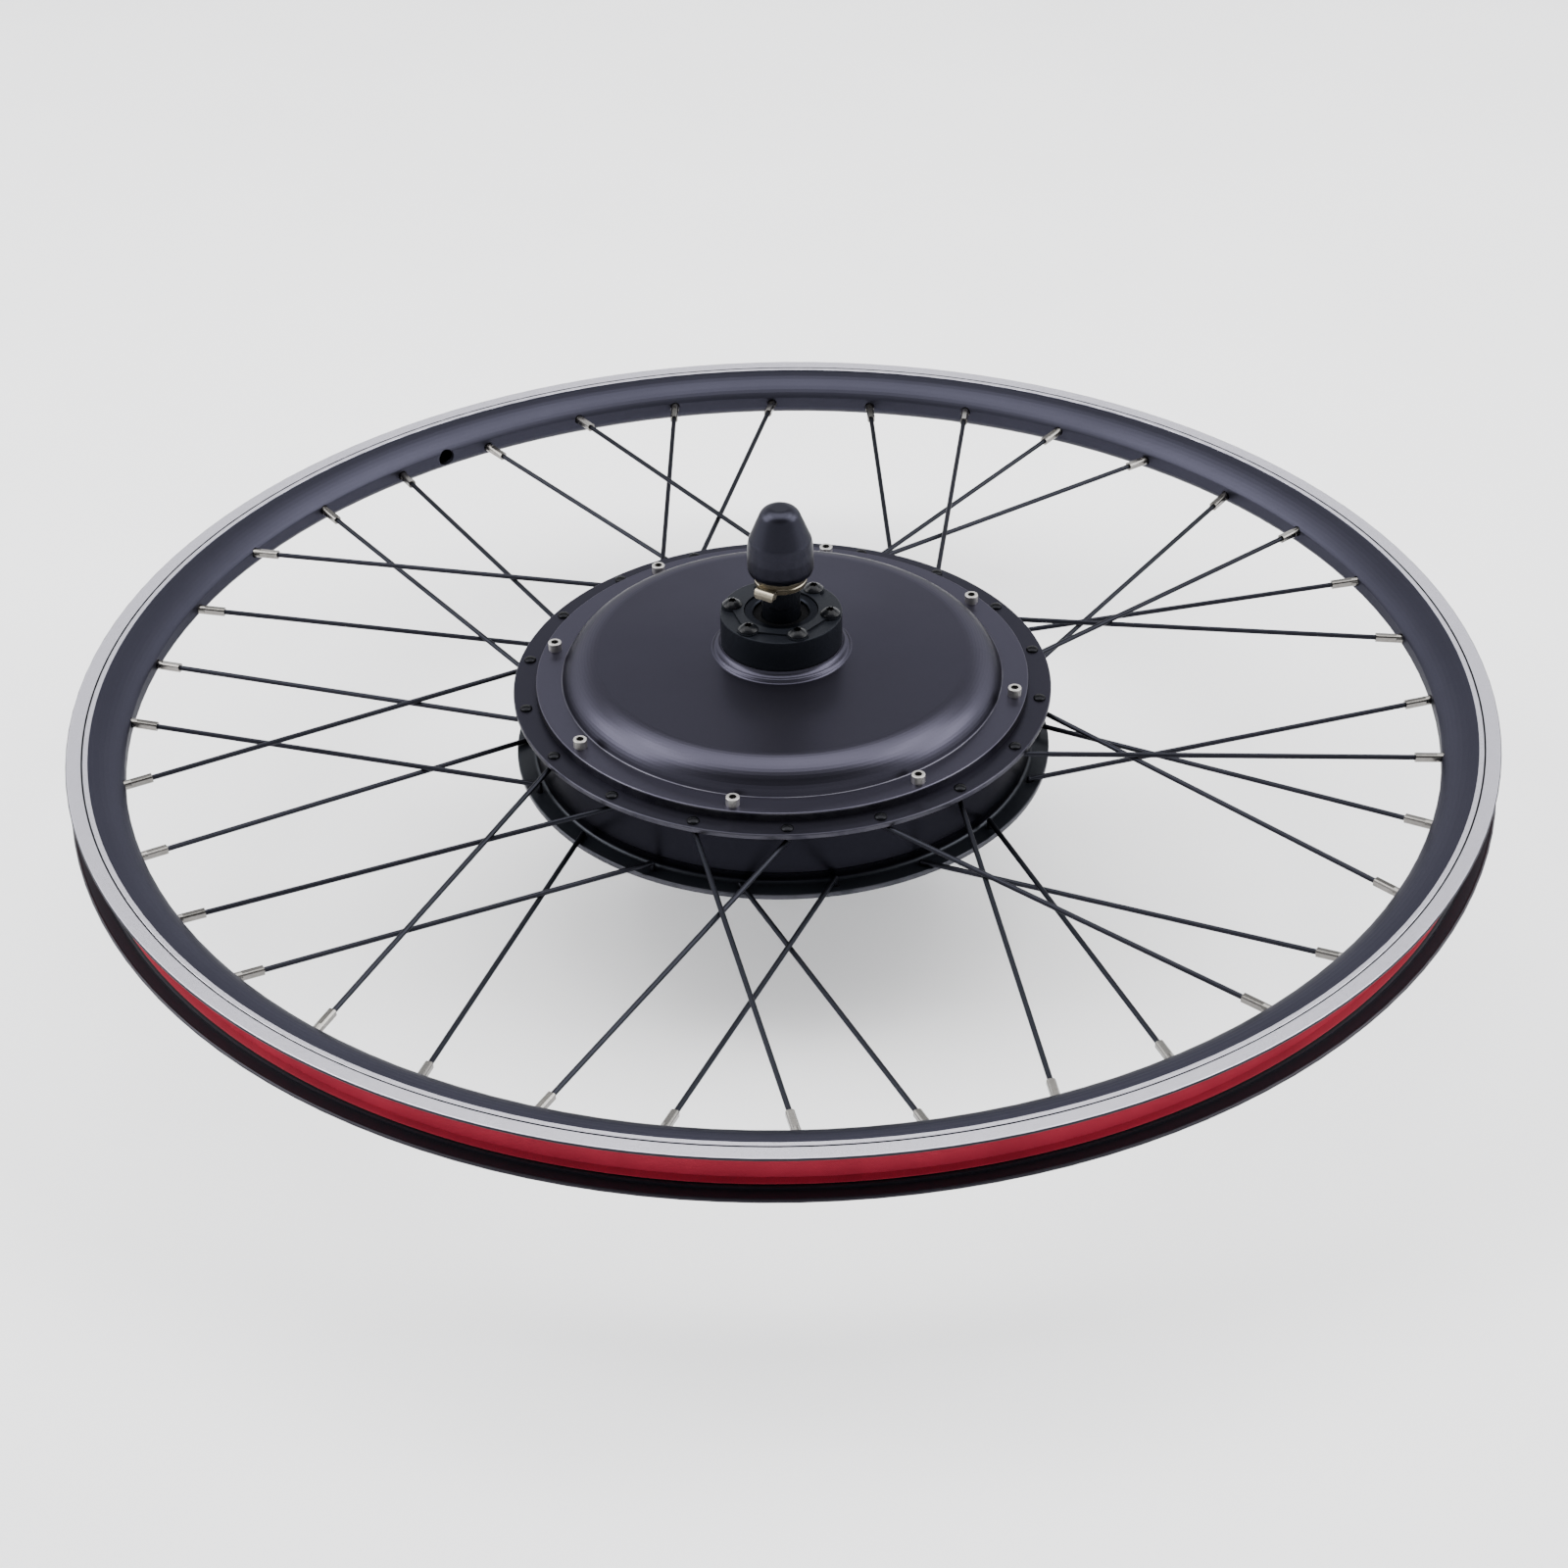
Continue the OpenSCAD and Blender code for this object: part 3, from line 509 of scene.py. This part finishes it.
def margin_section():
    """Section of one margin: flat tape's side, along the slope beside the bed, round the tip and back."""
    along = (BEAD_CORNER - BED_CORNER).normalized()
    across = Vector((along[1], -along[0]))
    tip = BED_CORNER + across * (MARGIN_LIFT + MARGIN_TIP) + along * MARGIN_WIDTH
    face = BED_CORNER[0] + TAPE_LIFT
    side = [Vector((face, TAPE_HALF)), Vector((face + TAPE_THICK, TAPE_HALF))]
    nose = [tip + MARGIN_TIP * (across * math.cos(math.radians(t)) + along * math.sin(math.radians(t)))
            for t in range(0, 181, 45)]
    return side + nose + [BED_CORNER + across * MARGIN_LIFT]


def make_tape_margins(mat):
    """Both turned-up margins of the tape, as closed rings."""
    mesh = bpy.data.meshes.new("rim_tape_margins")
    shape = bmesh.new()
    section = margin_section()
    for side in (1, -1):
        rings = []
        for k in range(MARGIN_TURNS):
            turn = 2 * math.pi * k / MARGIN_TURNS
            rings.append([shape.verts.new((r * MM * math.cos(turn), r * MM * math.sin(turn), side * z * MM))
                          for r, z in section])
        for k in range(MARGIN_TURNS):
            here, there = rings[k], rings[(k + 1) % MARGIN_TURNS]
            for i in range(len(section)):
                j = (i + 1) % len(section)
                shape.faces.new((here[i], there[i], there[j], here[j]))
    bmesh.ops.recalc_face_normals(shape, faces=shape.faces)
    shape.to_mesh(mesh)
    shape.free()
    piece = bpy.data.objects.new("rim_tape_margins", mesh)
    bpy.context.scene.collection.objects.link(piece)
    mesh.materials.append(mat.data)
    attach(piece, "wheel")


def paint_socket_shade(mat, screws, colour):
    """Paints shade into the driver sockets of a ring of screws, darkening them."""
    mat.link(mat.mix(mat.recess(*screws), mat.base, colour), "Base Color")
    return mat


def washer_material():
    """Gold zinc: faces painted dark as painted shade, with painted highlights along the outer edges at the
    washers' ends and joint, and on the bent tab.
    """
    # the faces' dark tones are painted shade
    mat = bare_metal("gold_zinc", (0.055, 0.046, 0.031), (0.100, 0.086, 0.061), 0.3, scale=300)
    height = mat.height()
    radius = mat.radius()
    tab = mat.step(radius, WASHER_TAB_R, SHARP)
    edges = mat.step(radius, WASHER_EDGE_R, SHARP)
    joint = mat.between(height, *WASHER_JOINT_Z, SHARP)
    ends = mat.invert(mat.between(height, *WASHERS_Z, SHARP))
    # painted highlight: the bent tab and the outer edges at the washers' ends and joint are painted bright
    painted_highlight = mat.either(tab, mat.both(edges, mat.either(joint, ends)))
    mat.link(mat.mix(painted_highlight, mat.base, GOLD_HIGHLIGHT), "Base Color")
    return mat


def spoke_material():
    """Black oxide wire; the domed heads are painted darker as painted shade, and are a little glossier."""
    mat = coated("black_wire", WIRE_DEEP, WIRE_LIGHT, WIRE_ROUGH, grain=2600, metallic=WIRE_METAL, graze=0.45)
    head = mat.both(mat.step(mat.height(), HEAD_Z, SHARP), mat.invert(mat.step(mat.radius(), HEAD_R, SHARP)))
    # painted shade: the heads are painted darker than the wire
    mat.link(mat.mix(head, mat.base, HEAD_SHADE), "Base Color")
    mat.link(mat.blend(head, WIRE_ROUGH, 0.27), "Roughness")
    mat.link(mat.blend(head, WIRE_METAL, 0.75), "Metallic")
    return mat


def copper_material():
    """Enamelled wire packed in turns."""
    mat = Build("copper_turns")
    turns = mat.waves(mat.radius(), 0.0011)
    drift = mat.math("SINE", mat.math("MULTIPLY", mat.split()[2], 900))
    wires = mat.math("ADD", mat.math("MULTIPLY", turns, 0.5), mat.math("MULTIPLY", drift, 0.1))
    copper = mat.ramp(mat.levels(wires, 0.2, 0.8), [(0.0, (0.30, 0.09, 0.02)), (1.0, (0.62, 0.24, 0.07))])
    mat.link(copper, "Base Color")
    mat.link(mat.levels(mat.noise(90, 3, 0.5), 0.25, 0.4), "Roughness")
    mat.shader.inputs["Metallic"].default_value = 0.9
    mat.bump(turns, 0.8, 0.0002)
    return mat


def core_material():
    """Stacked electrical steel: fine lines across the axle."""
    mat = Build("core_steel")
    sheets = mat.waves(mat.split()[2], 0.0007)
    steel = mat.ramp(mat.levels(sheets, 0.0, 1.0), [(0.0, (0.10, 0.10, 0.11)), (1.0, (0.26, 0.26, 0.28))])
    mat.link(steel, "Base Color")
    mat.link(mat.levels(mat.noise(60, 3, 0.5), 0.35, 0.55), "Roughness")
    mat.shader.inputs["Metallic"].default_value = 0.9
    mat.bump(sheets, 0.5, 0.00008)
    return mat


def paint(names, mat):
    """Gives the whole of each named CAD node one material."""
    for name in names:
        mesh = NODES[name].data
        mesh.materials.clear()
        mesh.materials.append(mat.data)
        for face in mesh.polygons:
            face.material_index = 0


def make_materials():
    slate = slate_material()
    black = coated("black_satin", (0.0088, 0.0100, 0.0132), (0.0114, 0.0128, 0.0168), 0.40,
                   metallic=0.5, level=0.1, graze=0.6)
    gloss = coated("black_gloss", (0.0040, 0.0043, 0.0055), (0.0056, 0.0060, 0.0075), 0.23, level=0.1)
    paint_socket_shade(gloss, DISC_SCREWS, GLOSS_SOCKET_SHADE)
    oxide = coated("black_oxide", NEAR_BLACK, SOFT_BLACK, 0.34, grain=900, level=0.3, metallic=0.6, graze=0.4)
    rubber = coated("cap_rubber", (0.0176, 0.0176, 0.0250), (0.0216, 0.0216, 0.0306), 0.30,
                    grain=1100, grain_depth=0.00005, metallic=0.9, graze=0.55)
    seal = coated("seal_rubber", (0.003, 0.003, 0.0035), (0.006, 0.006, 0.007), 0.6,
                  grain=1400, metallic=0.6, level=0.1, graze=0.4)
    stainless = bare_metal("stainless", SCREW_DARK, (0.44, 0.43, 0.415), 0.42)
    paint_socket_shade(stainless, COVER_SCREWS, scaled(SCREW_DARK, SOCKET_SHADE))
    nickel = bare_metal("nickel_brass", (0.125, 0.119, 0.112), (0.215, 0.206, 0.194), 0.22, scale=500)
    zinc = washer_material()
    steel = bare_metal("bright_zinc", (0.27, 0.27, 0.28), (0.39, 0.39, 0.40), 0.3)
    bearing = bare_metal("bearing_steel", (0.60, 0.60, 0.61), (0.78, 0.78, 0.79), 0.14)
    cast = coated("cast_aluminium", (0.34, 0.34, 0.35), (0.46, 0.46, 0.47), 0.5,
                  grain=700, grain_depth=0.0001, metallic=0.85)
    magnet = bare_metal("magnet_nickel", (0.54, 0.53, 0.50), (0.70, 0.69, 0.66), 0.2)
    cage = coated("cage_polymer", (0.40, 0.32, 0.18), (0.50, 0.42, 0.26), 0.45)
    board = coated("circuit_board", (0.010, 0.07, 0.03), (0.018, 0.11, 0.05), 0.35)
    paint(["brake_side_cover", "drive_side_cover"], slate)
    paint(["hub_shell"], shell_material())
    paint(["disc_mount"], black)
    paint(["disc_screws"], gloss)
    paint([n for n in NODES if n.startswith("spokes_")], spoke_material())
    paint(["axle"], oxide)
    paint(["axle_cap"], rubber)
    paint(["axle_seals"], seal)
    paint(["cover_screws"], stainless)
    paint(["nipples"], nickel)
    paint(["torque_washers", "flat_washers"], zinc)
    paint(["axle_nuts", "axle_key"], steel)
    paint(["bearing_inner_races", "bearing_outer_races", "bearing_balls"], bearing)
    paint(["stator_carrier"], cast)
    paint(["magnets"], magnet)
    paint(["bearing_cages"], cage)
    paint(["hall_board"], board)
    paint(["stator_core", "rotor_yoke"], core_material())
    paint(["windings"], copper_material())
    paint(["rim"], rim_material())
    tape = tape_material()
    paint(["rim_tape"], tape)
    make_tape_margins(tape)


make_camera()
make_lights()
make_materials()
make_floor()
